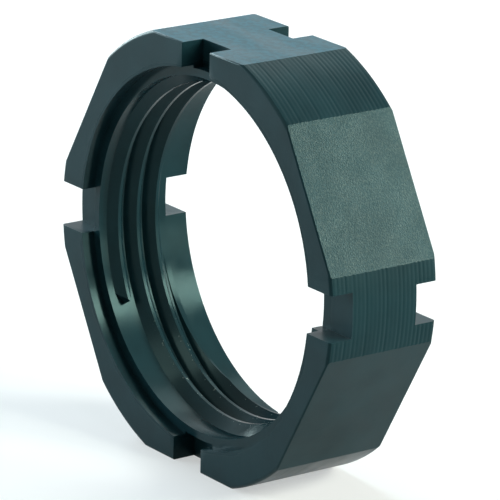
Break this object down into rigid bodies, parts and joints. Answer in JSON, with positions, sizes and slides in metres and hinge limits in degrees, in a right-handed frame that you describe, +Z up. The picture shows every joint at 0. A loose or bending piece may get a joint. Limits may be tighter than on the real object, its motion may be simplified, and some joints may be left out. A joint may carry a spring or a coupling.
{
  "type": "cable gland lock nut",
  "caption": "Moulded plastic lock nut for a cable gland: hexagon with corners turned round, castle notches in both faces and a coarse inner thread.",
  "frame": {"origin": "under the middle of the flat that the nut stands on, halfway through its thickness", "axes": "+Z up from that flat, +Y along the thread's axis from the front face to the back face, +X across the flat towards the right as seen from the front"},
  "size_m": [0.0282, 0.0078, 0.0265],
  "materials": {
    "polyamide": "satin, spark-eroded grain on the flats, fine turning marks on the corners"
  },
  "bodies": {
    "root": {"lock_nut": "polyamide"}
  },
  "joints": []
}
